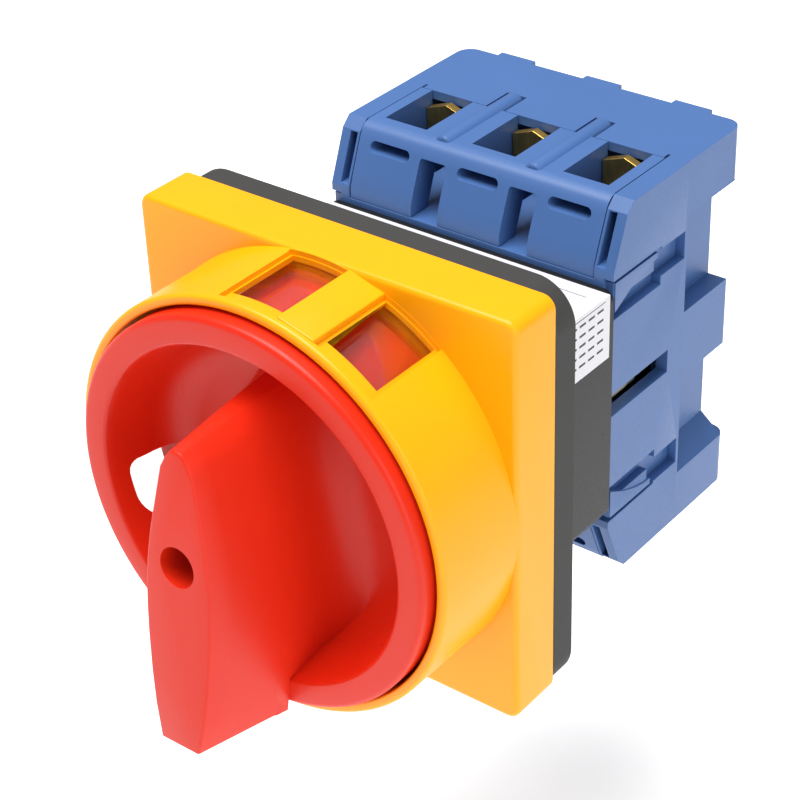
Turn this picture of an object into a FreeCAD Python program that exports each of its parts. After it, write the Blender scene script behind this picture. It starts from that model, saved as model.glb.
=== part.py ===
# Rotary isolator switch: three-pole load-break switch with a lockable rotary handle.
# Frame: +X right, +Y rearwards through the panel, +Z up, as seen by someone facing the handle.
# Origin: on the shaft's axis, in the plane where the gasket meets the panel.
# Rest pose: handle upright, switch off, contacts open.
import FreeCAD, Part
import os
import re

import Sketcher
from FreeCAD import Placement, Rotation, Vector

# ---------------------------------------------------------------- driving dimensions (mm)
DIMENSIONS = {
    # front plate, gasket and the collar round the handle
    "plate_side": 64.0,
    "plate_depth": 8.6,
    "plate_corner": 2.0,
    "skin": 2.4,
    "gasket_side": 65.0,
    "gasket_thick": 4.6,
    "gasket_corner": 6.0,
    "gasket_drop": 1.0,
    "gasket_left": 0.4,
    "collar_outer": 31.8,
    "collar_inner": 30.3,
    "collar_depth": 15.5,
    "window_half": 4.45,
    "window_near": 3.2,
    "window_length": 11.5,
    "lens_thick": 1.2,
    # handle
    "ring_outer": 29.8,
    "ring_inner": 26.1,
    "ring_lip": 4.2,
    "ring_proud": 2.2,
    "skirt_outer": 27.8,
    "cup_floor": 20.0,
    "cup_depth": 11.1,
    "floor_thick": 2.4,
    "hub_outer": 8.0,
    "paddle_proud": 13.3,
    "paddle_lean": 0.106,
    "paddle_top": 17.0,
    "paddle_foot": 28.3,
    "paddle_half": 5.6,
    "well_radius": 2.95,
    # drive shaft and its fits
    "shaft_side": 7.0,
    "shaft_fit": 0.05,
    "shaft_front": 29.0,
    "shaft_rear": 29.0,
    "running": 0.05,
    # panel fixing pattern (half spacings) and screws
    "fix_across": 18.0,
    "fix_up": 14.0,
    "fix_radius": 1.95,
    # mechanism housing and index wheel
    "box_width": 50.3,
    "box_height": 38.0,
    "box_depth": 20.0,
    "box_wall": 2.05,
    "journal": 6.0,
    "valley": 9.05,
    "lobe": 10.4,
    "nose": 3.0,
    # contact block
    "body_width": 50.0,
    "body_height": 62.0,
    "pole_pitch": 15.8,
    "bay_half": 21.7,
    "seam": 39.5,
    "rear_face": 52.6,
    "foot_face": 54.4,
    "wall": 2.0,
    # cam drum and contacts
    "cam_radius": 7.0,
    "pin_radius": 1.2,
    "pin_rest": 24.0,
    "travel": 4.2,
    "tip_line": 43.25,
    "strip_thick": 1.5,
    "terminal_line": 24.5,
}

doc = FreeCAD.newDocument("RotaryIsolator")
sheet = doc.addObject("Spreadsheet::Sheet", "Sizes")
for row, (alias, value) in enumerate(DIMENSIONS.items(), start=1):
    sheet.set(f"A{row}", alias)
    sheet.set(f"B{row}", str(value))
    sheet.setAlias(f"B{row}", alias)
doc.recompute()

nodes = []
AXES = {"x": Rotation(Vector(0, 1, 0), 90), "y": Rotation(Vector(1, 0, 0), -90), "z": Rotation()}
PLANES = {"xz": "XZ_Plane", "yz": "YZ_Plane"}


# ---------------------------------------------------------------- modelling helpers
def linked(text):
    """Turn a size such as "plate_side / 2" into an expression on the sheet's cells."""
    def cell(word):
        return f"Sizes.{word.group()}" if word.group() in DIMENSIONS else word.group()
    return re.sub(r"[a-z_]+", cell, str(text))


def place(item, x, y, z, turn=None):
    """Put an item at a point given as expressions."""
    if turn is not None:
        item.Placement = Placement(Vector(), turn)
    for axis, text in zip("xyz", (x, y, z)):
        item.setExpression(f"Placement.Base.{axis}", linked(text))
    return item


def box(x, y, z, name="Block"):
    """Box between two values on each axis."""
    item = doc.addObject("Part::Box", name)
    for side, span in zip(("Length", "Width", "Height"), (x, y, z)):
        item.setExpression(side, linked(f"({span[1]}) - ({span[0]})"))
    return place(item, x[0], y[0], z[0])


def rod(axis, radius, span, across=0, up=0, name="Rod"):
    """Cylinder along an axis; across and up place it on the other two axes, in order."""
    item = doc.addObject("Part::Cylinder", name)
    item.setExpression("Radius", linked(radius))
    item.setExpression("Height", linked(f"({span[1]}) - ({span[0]})"))
    spots = {"x": (span[0], across, up), "y": (across, span[0], up), "z": (across, up, span[0])}
    return place(item, *spots[axis], turn=AXES[axis])


def cone(radii, span, name="Taper"):
    """Cone along Y on the shaft's axis."""
    item = doc.addObject("Part::Cone", name)
    item.setExpression("Radius1", linked(radii[0]))
    item.setExpression("Radius2", linked(radii[1]))
    item.setExpression("Height", linked(f"({span[1]}) - ({span[0]})"))
    return place(item, 0, span[0], 0, turn=AXES["y"])


def prism(plane, points, span, name="Profile"):
    """Padded outline: corner points in the plane, span along the plane's normal axis."""
    body = doc.addObject("PartDesign::Body", name)
    sketch = body.newObject("Sketcher::SketchObject", f"{name}Sketch")
    base = next(item for item in body.Origin.OriginFeatures if item.Role == PLANES[plane])
    sketch.AttachmentSupport = [(base, "")]
    sketch.MapMode = "FlatFace"
    away = -1 if plane == "xz" else 1
    sketch.setExpression("AttachmentOffset.Base.z", linked(f"{away} * ({span[0]})"))
    count = len(points)
    start = [Vector(10.0 * number, 7.0 * (number % 3), 0) for number in range(count)]
    for number in range(count):
        sketch.addGeometry(Part.LineSegment(start[number], start[(number + 1) % count]), False)
    for number in range(count):
        sketch.addConstraint(Sketcher.Constraint("Coincident", number, 2, (number + 1) % count, 1))
    for number, point in enumerate(points):
        for kind, text in zip(("DistanceX", "DistanceY"), point):
            index = sketch.addConstraint(Sketcher.Constraint(kind, -1, 1, number, 1, 1.0))
            sketch.setExpression(f"Constraints[{index}]", linked(text))
    pad = body.newObject("PartDesign::Pad", f"{name}Pad")
    pad.Profile = sketch
    pad.setExpression("Length", linked(f"({span[1]}) - ({span[0]})"))
    pad.Reversed = plane == "xz"
    return body


def fuse(parts, name="Joined"):
    item = doc.addObject("Part::MultiFuse", name)
    item.Shapes = parts
    item.Refine = True
    return item


def cut(base, tools, name="Cut"):
    item = doc.addObject("Part::Cut", name)
    item.Base = base
    item.Tool = tools[0] if len(tools) == 1 else fuse(tools, f"{name}Tools")
    return item


def common(first, second, name="Shared"):
    item = doc.addObject("Part::MultiCommon", name)
    item.Shapes = [first, second]
    return item


def rounded(base, radius, chosen, name="Rounded"):
    """Round the edges that the chosen test accepts; the radius is a cell's name or a length."""
    doc.recompute()
    item = doc.addObject("Part::Fillet", name)
    item.Base = base
    amount = sheet.get(radius) if isinstance(radius, str) else radius
    edges = [(number, amount, amount) for number, edge in enumerate(base.Shape.Edges, start=1)
             if chosen(edge)]
    item.Edges = edges
    return item


def group(parts, name="Group"):
    """Separate like solids that share one node."""
    item = doc.addObject("Part::Compound", name)
    item.Links = parts
    return item


def node(label, item):
    """Name a finished sub-part; the label is also its file's name."""
    item.Label = label
    nodes.append(item)
    return item


def along_y(edge):
    ends = edge.Vertexes
    return len(ends) == 2 and abs((ends[1].Point - ends[0].Point).normalize().y) > 0.99


def rear_upright(edge):
    """Upright edges at the far end of a block."""
    ends = [vertex.Point for vertex in edge.Vertexes]
    return len(ends) == 2 and min(ends[0].y, ends[1].y) > 50 and abs(ends[0].z - ends[1].z) > 1


def mirrored_z(item, flip, name="Mirrored"):
    """The item itself, or its mirror image below the shaft's axis."""
    if not flip:
        return item
    twin = doc.addObject("Part::Mirroring", name)
    twin.Source = item
    twin.Base = Vector(0, 0, 0)
    twin.Normal = Vector(0, 0, 1)
    return twin


FRONT = "(-gasket_thick - plate_depth)"          # front face of the plate
RIM = f"({FRONT} - collar_depth)"                # front rim of the collar
RING = f"({RIM} - ring_proud)"                   # front face of the handle's ring
FACE = f"({RING} - paddle_proud)"                # paddle's front face on the axis
POLES = ("-pole_pitch", "0", "pole_pitch")
SIDES = (("top", False), ("bottom", True))


def four(offset_x, offset_z):
    """The four sign combinations of a symmetric pattern."""
    return [(f"{a} * {offset_x}", f"{b} * {offset_z}") for a in (-1, 1) for b in (-1, 1)]


# ---------------------------------------------------------------- front of the panel
def front_bezel():
    half = "plate_side / 2"
    slab = box((f"-{half}", half), (FRONT, "-gasket_thick"), (f"-{half}", half), "PlateSlab")
    slab = rounded(slab, "plate_corner", along_y, "PlateSlabRound")
    inner = f"({half} - skin)"
    hollow = box((f"-{inner}", inner), (f"{FRONT} + skin", "-gasket_thick + 1"),
                 (f"-{inner}", inner), "PlateHollow")
    hollow = rounded(hollow, 2.0, along_y, "PlateHollowRound")
    shell = cut(slab, [hollow], "PlateShell")
    collar = rod("y", "collar_outer", (RIM, FRONT), name="Collar")
    posts = [rod("y", "4.2", (f"{FRONT} + skin - 0.2", "-gasket_thick"), x, z, "ScrewPost")
             for x, z in four("fix_across", "fix_up")]
    whole = fuse([shell, collar] + posts, "BezelSolid")
    bore = rod("y", "collar_inner", (f"{RIM} - 1", FRONT), name="CollarBore")
    hub_hole = rod("y", "hub_outer + 1.5", (f"{FRONT} - 1", f"{FRONT} + skin + 1"), name="HubHole")
    screw_holes = [rod("y", "fix_radius + 0.25", (f"{FRONT} - 1", "0"), x, z, "ScrewHole")
                   for x, z in four("fix_across", "fix_up")]
    windows = [window_cutter(angle) for angle in WINDOW_ANGLES]
    return cut(whole, [bore, hub_hole] + screw_holes + windows, "FrontBezel")


WINDOW_ANGLES = (1.1, 30.3, -81.8, -111.0)       # clockwise from the top, seen from the front


def window_cutter(angle):
    """Block that opens one window, turned round the axis from the top of the collar."""
    cutter = box(("-window_half", "window_half"),
                 (f"{RIM} + window_near", f"{RIM} + window_near + window_length"),
                 ("collar_inner - 3", "collar_outer + 3"), "WindowBlock")
    return turned(cutter, angle, "WindowTurned")


def turned(item, angle, name="Turned"):
    """The item turned clockwise round the shaft's axis."""
    holder = doc.addObject("Part::Compound", name)
    holder.Links = [item]
    holder.Placement = Placement(Vector(), Rotation(Vector(0, 1, 0), angle))
    return holder


def window_lenses():
    """Clear ring segments clipped behind the collar's windows."""
    panes = []
    for number, angle in enumerate(WINDOW_ANGLES):
        span = (f"{RIM} + window_near - 0.8", f"{RIM} + window_near + window_length + 0.8")
        ring = cut(rod("y", "collar_inner - 0.05", span, name="LensOuter"),
                   [rod("y", "collar_inner - 0.05 - lens_thick",
                        (f"{span[0]} - 1", f"{span[1]} + 1"), name="LensInner")], "LensRing")
        wedge = box(("-window_half - 1", "window_half + 1"), (span[0], span[1]),
                    ("collar_inner - 6", "collar_outer"), "LensWedge")
        panes.append(turned(common(ring, wedge, "LensPane"), angle, f"Lens{number}"))
    return group(panes, "WindowLenses")


def panel_gasket():
    half = "gasket_side / 2"
    slab = box((f"-{half} - gasket_left", f"{half} - gasket_left"), ("-gasket_thick", "0"),
               (f"-{half} - gasket_drop", f"{half} - gasket_drop"), "GasketSlab")
    slab = rounded(slab, "gasket_corner", along_y, "GasketRound")
    holes = [rod("y", "fix_radius + 0.25", ("-gasket_thick - 1", "1"), x, z, "GasketHole")
             for x, z in four("fix_across", "fix_up")]
    holes.append(rod("y", "9", ("-gasket_thick - 1", "1"), name="GasketBore"))
    return cut(slab, holes, "PanelGasket")


def fixing_screws():
    """Four screws from the front of the plate into the mechanism housing."""
    screws = []
    for x, z in four("fix_across", "fix_up"):
        head = rod("y", "3.5", (f"{FRONT} - 2.4", FRONT), x, z, "FixHead")
        cross = [box((f"{x} - {a}", f"{x} + {a}"), (f"{FRONT} - 3", f"{FRONT} - 1"),
                     (f"{z} - {b}", f"{z} + {b}"), "FixCross") for a, b in ((1.9, 0.4), (0.4, 1.9))]
        shank = rod("y", "fix_radius", (FRONT, "12"), x, z, "FixShank")
        screws.append(cut(fuse([head, shank], "FixBlank"), cross, "FixScrew"))
    return group(screws, "FixingScrews")


def shaft_seal():
    ring = rod("y", "hub_outer + 1.5", (f"{FRONT}", f"{FRONT} + skin"), name="SealOuter")
    bore = rod("y", "hub_outer + running", (f"{FRONT} - 1", f"{FRONT} + skin + 1"),
               name="SealBore")
    return cut(ring, [bore], "ShaftSeal")


# ---------------------------------------------------------------- handle and shaft
def rotary_handle():
    floor_front = f"({RING} + cup_depth)"
    floor_rear = f"({floor_front} + floor_thick)"
    ring = rod("y", "ring_outer", (RING, f"{RING} + ring_lip"), name="HandleRing")
    skirt = rod("y", "skirt_outer", (f"{RING} + ring_lip", f"{FRONT} - 0.4"), name="HandleSkirt")
    behind = rod("y", "skirt_outer - 1.2", (floor_rear, FRONT), name="HandleBehind")
    cup = cone(("ring_inner", "cup_floor"), (RING, floor_front), "HandleCup")
    lock_slot = turned(box(("-4.5", "4.5"), (f"{RING} + 3", f"{floor_front} - 0.5"),
                           ("20", "31"), "LockSlot"), -107.0, "LockSlotTurned")
    shell = cut(fuse([ring, skirt], "HandleBlank"), [cup, lock_slot, behind],
                "HandleShell")
    slope = "paddle_lean"
    side = [(f"{FACE} + paddle_top * {slope}", "paddle_top"),
            (f"{FACE} - paddle_foot * {slope}", "-paddle_foot"),
            (RING, "-ring_outer - 1.2"),
            (f"{RING} + 1.5", "-ring_outer - 1.2"),
            (f"{RING} + 1.5", "-ring_inner - 0.5"),
            (f"{floor_front} + 0.5", "-cup_floor - 0.5"),
            (f"{floor_front} + 0.5", "paddle_top + 1.6")]
    profile = prism("yz", side, ("-7", "7"), "PaddleSide")
    outline = [("1.4", "paddle_top + 2"), ("1.6", "16.5"), ("3", "14"), ("paddle_half * 0.89", "3"),
               ("paddle_half", "-4"), ("paddle_half * 0.97", "-12"),
               ("paddle_half * 0.86", "-20"), ("3.6", "-ring_outer - 2")]
    mirror = [(f"-({x})", z) for x, z in reversed(outline)]
    front = prism("xz", outline + mirror, (f"{FACE} - 5", f"{floor_front} + 1"),
                  "PaddleFront")
    paddle = common(profile, front, "Paddle")
    hub = rod("y", "hub_outer", (f"{floor_front} + 0.5", "-gasket_thick - 4"), name="HandleHub")
    whole = fuse([shell, paddle, hub], "HandleWhole")
    grip = "(shaft_side / 2 + shaft_fit)"
    socket = box((f"-{grip}", grip), ("-shaft_front - 0.05", "0"), (f"-{grip}", grip),
                 "HandleSocket")
    well = rod("y", "well_radius", (f"{FACE} - 6", f"{FACE} + 8"), name="ScrewWell")
    through = rod("y", "1.6", (FACE, "-shaft_front + 1"), name="ScrewThrough")
    return cut(whole, [socket, well, through], "RotaryHandle")


def handle_screw():
    head = rod("y", "2.7", (f"{FACE} + 5.4", f"{FACE} + 8"), name="GripScrewHead")
    slot = box(("-3", "3"), (f"{FACE} + 5", f"{FACE} + 6.6"), ("-0.4", "0.4"), "GripScrewSlot")
    shank = rod("y", "1.5", (f"{FACE} + 8", "-shaft_front + 9"), name="GripScrewShank")
    return cut(fuse([head, shank], "GripScrewBlank"), [slot], "HandleScrew")


def drive_shaft():
    half = "shaft_side / 2"
    bar = box((f"-{half}", half), ("-shaft_front", "shaft_rear"), (f"-{half}", half), "ShaftBar")
    tapped = rod("y", "1.6", ("-shaft_front - 1", "-shaft_front + 11"), name="ShaftTapping")
    return cut(bar, [tapped], "DriveShaft")


# ---------------------------------------------------------------- mechanism
def mechanism_housing():
    half, tall = "box_width / 2", "box_height / 2"
    block = box((f"-{half}", half), ("0", "box_depth"), (f"-{tall}", tall), "MechBlock")
    block = rounded(block, 1.6, along_y, "MechRound")
    room = box((f"-{half} + box_wall", f"{half} - box_wall"), ("2.5", "box_depth + 1"),
               (f"-{tall} + box_wall", f"{tall} - box_wall"), "MechRoom")
    shell = cut(block, [room], "MechShell")
    extra = [rod("y", "4", ("2", "14"), x, z, "MechBoss") for x, z in four("fix_across", "fix_up")]
    for low, high in (("12", "14"), ("-14", "-12")):
        for near, far in (("9.4", "10.55"), ("11.25", "12.6"), ("-10.55", "-9.4"), ("-12.6", "-11.25")):
            extra.append(box((near, far), ("2", "11.8"), (low, high), "LeafAnchor"))
    bores = [rod("y", "fix_radius + 0.05", ("-1", "15"), x, z, "MechTapping")
             for x, z in four("fix_across", "fix_up")]
    bores.append(rod("y", "journal + running", ("-1", "3"), name="MechBore"))
    return cut(fuse([shell] + extra, "MechWhole"), bores, "MechanismHousing")


def mechanism_end_plate():
    """Rear wall of the mechanism, with the two stops that end the handle's quarter turn."""
    wide, tall = "(box_width / 2 - box_wall - 0.1)", "(box_height / 2 - box_wall - 0.1)"
    plate = box((f"-{wide}", wide), ("box_depth - 2", "box_depth"), (f"-{tall}", tall), "EndSlab")
    stops = [box(("-5.2", "-1.75"), ("14.2", "18.1"), ("6.4", "9.6"), "StopOff"),
             box(("6.4", "9.6"), ("14.2", "18.1"), ("-5.2", "-1.75"), "StopOn")]
    holes = [rod("y", "2.0", ("17", "21"), x, z, "EndTapping") for x, z in four("7.9", "13")]
    holes.append(rod("y", "journal + running", ("17", "21"), name="EndBore"))
    return cut(fuse([plate] + stops, "EndWhole"), holes, "MechanismEndPlate")


def index_wheel():
    """Four-lobed wheel; the leaf springs rest in its valleys at each end of the turn."""
    disc = rod("y", "lobe", ("5", "12"), name="WheelDisc")
    reach = "(valley + nose + 0.05)"
    bites = [rod("y", "nose + 0.05", ("4", "13"), x, z, "WheelValley")
             for x, z in ((reach, "0"), (f"-{reach}", "0"), ("0", reach), ("0", f"-{reach}"))]
    star = cut(disc, bites, "WheelStar")
    hub = rod("y", "journal", ("0.3", "19.8"), name="WheelHub")
    lug = box(("-1.6", "1.6"), ("14.2", "17.6"), ("4", "9.6"), "WheelLug")
    grip = "(shaft_side / 2 + shaft_fit)"
    socket = box((f"-{grip}", grip), ("0", "21"), (f"-{grip}", grip), "WheelSocket")
    return cut(fuse([star, hub, lug], "WheelWhole"), [socket], "IndexWheel")


def index_leaf(sign):
    """Spring blade whose rounded nose rests in a valley of the index wheel."""
    def span(near, far):
        return (near, far) if sign > 0 else (f"-({far})", f"-({near})")
    centre = f"{sign} * (valley + nose + 0.1)"
    blade = box(span("10.6", "11.2"), ("5.5", "11.5"), ("-13.5", "13.5"), "LeafBlade")
    nose = common(rod("y", "nose", ("5.5", "11.5"), centre, 0, "LeafNose"),
                  box(span("8", "11.2"), ("5", "12"), ("-4", "4"), "LeafClip"), "LeafBulge")
    channel = rod("y", "nose - 0.6", ("5", "12"), centre, 0, "LeafChannel")
    return cut(fuse([blade, nose], "LeafBlank"), [channel], "IndexLeaf")


def coil(radius, wire, length, turns, name):
    """Open helical spring along +Z, before it is placed."""
    item = doc.addObject("Part::Feature", name)
    path = Part.makeHelix(length / turns, length, radius)
    section = Part.Wire(Part.makeCircle(wire, Vector(radius, 0, 0), Vector(0, 1, 0)))
    item.Shape = Part.Wire(path).makePipeShell([section], True, True)
    return item


def rating_label():
    """Printed label that folds from the housing's top over its right side."""
    half, tall = "box_width / 2", "box_height / 2"
    over = box((f"-{half} + 0.6", f"{half} + 0.15"), ("1", "box_depth - 1.2"),
               (tall, f"{tall} + 0.15"), "LabelTop")
    down = box((half, f"{half} + 0.15"), ("1", "box_depth - 1.2"), ("9", f"{tall} + 0.15"),
               "LabelSide")
    return fuse([over, down], "RatingLabel")


# ---------------------------------------------------------------- contact block
def contact_housing():
    half = "body_width / 2"
    tall = "body_height / 2"
    profile = [("box_depth", "-21.6"), ("box_depth + 3.2", f"-{tall} + 1.5"),
               ("box_depth + 4.8", f"-{tall}"), ("seam - 0.1", f"-{tall}"),
               ("seam - 0.1", tall), ("box_depth + 4.8", tall),
               ("box_depth + 3.2", f"{tall} - 1.5"), ("box_depth", "21.6")]
    block = prism("yz", profile, (f"-{half}", half), "BlockSide")
    room = f"({half} - wall)"
    hollow = box((f"-{room}", room), ("box_depth - 1", "seam - 2.5"), ("-17.9", "17.9"), "Chamber")
    mouth = box(("-21.1", "21.1"), ("seam - 3", "seam + 1"), ("-17.9", "17.9"), "ChamberMouth")
    bays = [mirrored_z(box(("-bay_half", "bay_half"), ("box_depth - 1", "seam + 1"),
                           ("19.9", f"{tall} + 1"), "Bay"), flip, "BayLow") for _, flip in SIDES]
    tools = [hollow, mouth] + bays
    for sign in (-1, 1):
        outer = (f"{half} - 1.6", f"{half} + 1") if sign > 0 else (f"-{half} - 1", f"-{half} + 1.6")
        for _, flip in SIDES:
            recess = box(outer, ("box_depth - 1", "seam - 7"), ("14.2", "20.4"), "LatchRecess")
            tools.append(mirrored_z(recess, flip, "LatchRecessLow"))
            strip = box(outer, ("seam - 7.5", "seam - 0.6"), ("15.6", "20"), "LatchPocket")
            tools.append(mirrored_z(strip, flip, "LatchPocketLow"))
            gap = (("22.1", "23.4") if sign > 0 else ("-23.4", "-22.1"))
            slit = box(gap, ("box_depth - 1", "box_depth + 6"), ("22", "29.3"), "EndSlit")
            tools.append(mirrored_z(slit, flip, "EndSlitLow"))
        slot = (room, f"{half} + 1") if sign > 0 else (f"-{half} - 1", f"-{room}")
        tools.append(box(slot, ("box_depth - 1", "seam - 4.2"), ("-1.9", "1.9"), "ViewSlot"))
    shell = cut(block, tools, "BlockShell")
    inside = []
    for sign in (-1, 1):
        for _, flip in SIDES:
            hook_x = (f"{half} - 2", f"{half} - 0.3")
            hook_x = hook_x if sign > 0 else tuple(f"-({x})" for x in reversed(hook_x))
            hook = box(hook_x, ("box_depth + 0.5", "box_depth + 11"), ("17", "19.9"), "SnapHook")
            inside.append(mirrored_z(hook, flip, "SnapHookLow"))
            post = rod("y", "3.1", ("box_depth + 0.1", "seam - 0.1"), f"{sign} * 7.9", "13", "Post")
            web = box((f"{sign} * 7.9 - 0.8", f"{sign} * 7.9 + 0.8"), ("box_depth + 0.1", "seam - 0.1"),
                      ("13", "18"), "Barrier")
            fin = box((f"{sign} * 7.9 - 0.8", f"{sign} * 7.9 + 0.8"), ("box_depth + 8", "seam - 0.1"),
                      ("18", "26.8"), "TerminalBarrier")
            for item in (post, web, fin):
                inside.append(mirrored_z(item, flip, "InnerLow"))
    whole = fuse([shell] + inside, "BlockWhole")
    bores = [rod("y", "2.0", ("box_depth - 1", "seam + 1"), x, z, "BlockBore")
             for x, z in four("7.9", "13")]
    return cut(whole, bores, "ContactHousing")


def terminal_cover(flip):
    """Insert that closes the terminal bay, with a wire pocket for each pole."""
    tall = "(body_height / 2)"
    lid = "box_depth + 18.2"
    outline = [("box_depth + 0.1", "20"), ("box_depth + 0.1", "21.6"),
               ("box_depth + 3.2", f"{tall} - 1.5"), ("box_depth + 4.8", tall), (lid, tall),
               (lid, f"{tall} - 3.8"), ("box_depth + 7", f"{tall} - 3.8"),
               ("box_depth + 4.2", "20")]
    slab = prism("yz", outline, ("-bay_half + 0.15", "bay_half - 0.15"), "CoverSide")
    ribs = []
    for sign in (-1, 1):
        ribs.append(rod("y", "1.5", ("box_depth + 4.9", "box_depth + 23.6"), f"{sign} * 7.9",
                        "body_height / 2 - 0.75", "CoverRib"))
    whole = fuse([slab] + ribs, "CoverWhole")
    tools = []
    for pole in POLES:
        tools.append(box((f"{pole} - 3.8", f"{pole} + 3.8"), ("box_depth + 6.7", "box_depth + 19"),
                         ("18", f"{tall} + 2"), "WirePocket"))
        tools.append(box((f"{pole} - 3.6", f"{pole} + 3.6"), ("box_depth - 1", "box_depth + 6.8"),
                         (f"{tall} - 3.8", f"{tall} - 2.1"), "CoverSlot"))
    for sign in (-1, 1):
        tools.append(box((f"{sign} * 7.9 - 2.4", f"{sign} * 7.9 + 2.4"), ("box_depth - 1", "box_depth + 8"),
                         ("19", f"{tall} - 2.5"), "CoverNotch"))
    return mirrored_z(cut(whole, tools, "CoverCut"), flip, "TerminalCover")


def rear_housing():
    """Closes the contact block; its three feet rows stand against the enclosure's back."""
    half, tall = "body_width / 2", "body_height / 2"
    web = box(("-21.3", "21.3"), ("seam", "rear_face"), (f"-{tall}", tall), "RearWeb")
    ears = box((f"-({half} - 0.5)", f"{half} - 0.5"), ("seam", "rear_face"), ("-5.65", "5.65"), "RearEars")
    parts = [web, ears]
    for _, flip in SIDES:
        foot = box((f"-{half}", half), ("seam", "foot_face"), ("22.4", tall), "RearFoot")
        foot = rounded(foot, 2.5, rear_upright, "RearFootRound")
        for sign in (-1, 1):
            outline = [(f"{sign} * 21.2", "22.6"), (f"{sign} * 21.2", "19.2"),
                       (f"{sign} * {half}", "22.4"), (f"{sign} * {half}", "22.6")]
            gusset = prism("xz", outline, ("seam", "rear_face"), "FootGusset")
            parts.append(mirrored_z(gusset, flip, "FootGussetLow"))
        lip = box(("-21.3", "21.3"), ("box_depth + 18.3", "seam + 1"), (f"{tall} - 1.4", tall), "RearLip")
        parts += [mirrored_z(foot, flip, "RearFootLow"), mirrored_z(lip, flip, "RearLipLow")]
        for pole in POLES:
            tab = box((f"{pole} - 3.15", f"{pole} + 3.15"), ("foot_face - 0.5", "foot_face + 1.2"),
                      (f"{tall} - 1", tall), "RearTab")
            parts.append(mirrored_z(tab, flip, "RearTabLow"))
    whole = fuse(parts, "RearWhole")
    tools = [box(("-20.1", "20.1"), ("seam - 1", "tip_line + 2.35"), (f"-{tall} + 1.5", f"{tall} - 1.5"),
                 "RearRoom")]
    for _, flip in SIDES:
        for pole in POLES:
            access = rod("y", "3.6", ("tip_line + 2", "foot_face + 2"), pole, "terminal_line",
                         "ScrewAccess")
            tools.append(mirrored_z(access, flip, "ScrewAccessLow"))
        for sign in (-1, 1):
            cleft = box((f"{sign} * 7.9 - 1.75", f"{sign} * 7.9 + 1.75"),
                        ("box_depth + 17", "box_depth + 23.9"), (f"{tall} - 2.6", f"{tall} + 1"),
                        "RibCleft")
            tools.append(mirrored_z(cleft, flip, "RibCleftLow"))
    for x, z in four("7.9", "13"):
        tools.append(rod("y", "2.0", ("seam", "rear_face + 1"), x, z, "RearBore"))
        tools.append(rod("y", "3.6", ("rear_face - 2.6", "rear_face + 1"), x, z, "RearSink"))
    return cut(whole, tools, "RearHousing")


def housing_screws():
    screws = []
    for x, z in four("7.9", "13"):
        head = rod("y", "3.4", ("rear_face - 2.55", "rear_face - 0.2"), x, z, "LongHead")
        slot = box((f"{x} - 4", f"{x} + 4"), ("rear_face - 1.2", "rear_face"),
                   (f"{z} - 0.45", f"{z} + 0.45"), "LongSlot")
        shank = rod("y", "1.95", ("box_depth - 1.9", "rear_face - 2.5"), x, z, "LongShank")
        screws.append(cut(fuse([head, shank], "LongBlank"), [slot], "LongScrew"))
    return group(screws, "HousingScrews")


# ---------------------------------------------------------------- switching parts
def cam_drum():
    """Drum on the shaft with two helical tracks that draw the carrier back and forth."""
    body = rod("y", "cam_radius", ("box_depth + 0.6", "pin_rest + 6.4"), name="CamBody")
    grip = "(shaft_side / 2 + shaft_fit)"
    socket = box((f"-{grip}", grip), ("box_depth", "pin_rest + 8"), (f"-{grip}", grip), "CamSocket")
    steps = 20
    bites = []
    for number in range(-1, steps + 2):
        share = number / steps
        bite = rod("z", "pin_radius + 0.3", ("-10", "10"), 0, f"pin_rest + travel * {share}", "CamBite")
        # the drum turns clockwise, so the track is laid the other way round it
        bites.append(turned(bite, -90.0 * share, "CamBiteTurned"))
    track = fuse(bites, "CamTrack")
    core = rod("y", "cam_radius - 1.6", ("box_depth", "pin_rest + 8"), name="CamCore")
    grooves = cut(track, [core], "CamGrooves")
    return cut(body, [socket, grooves], "CamDrum")


def contact_carrier():
    """Sliding frame that carries the three contact bridges."""
    beam_y = ("box_depth + 1.5", "box_depth + 8.5")
    tube = rod("y", "cam_radius + 3.3", ("box_depth + 1.5", "pin_rest + 7.8"), name="CarrierTube")
    beam = box(("-18.6", "18.6"), beam_y, ("-4", "4"), "CarrierBeam")
    ends = [rod("y", "4", beam_y, f"{sign} * 18.6", 0, "CarrierEnd") for sign in (-1, 1)]
    web = box(("-10", "10"), ("pin_rest + 7.8", "pin_rest + 9"), ("-4", "4"), "CarrierWeb")
    parts = [tube, beam, web] + ends
    for pole in (POLES[0], POLES[2]):
        parts.append(box((f"{pole} - 5", f"{pole} + 5"), ("box_depth + 8", "pin_rest + 9"),
                         ("-3.5", "3.5"), "CarrierSeat"))
    for pole in POLES:
        for sign in (-1, 1):
            side = (f"{pole} + 3.15", f"{pole} + 3.95") if sign > 0 else (f"{pole} - 3.95", f"{pole} - 3.15")
            parts.append(box(side, ("pin_rest + 8.5", "pin_rest + 15.4"), ("-2.4", "2.4"), "YokePost"))
        parts.append(box((f"{pole} - 3.95", f"{pole} + 3.95"), ("pin_rest + 14.25", "pin_rest + 15.4"),
                         ("-2.4", "2.4"), "YokeBar"))
    whole = fuse(parts, "CarrierBlank")
    bore = rod("y", "cam_radius + 0.5", ("box_depth", "pin_rest + 7.8"), name="CarrierBore")
    pins = [rod("z", "pin_radius", span, 0, "pin_rest", "CarrierPin")
            for span in (("cam_radius - 1.2", "cam_radius + 2"), ("-cam_radius - 2", "-cam_radius + 1.2"))]
    return fuse([cut(whole, [bore], "CarrierBored")] + pins, "ContactCarrier")


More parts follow.
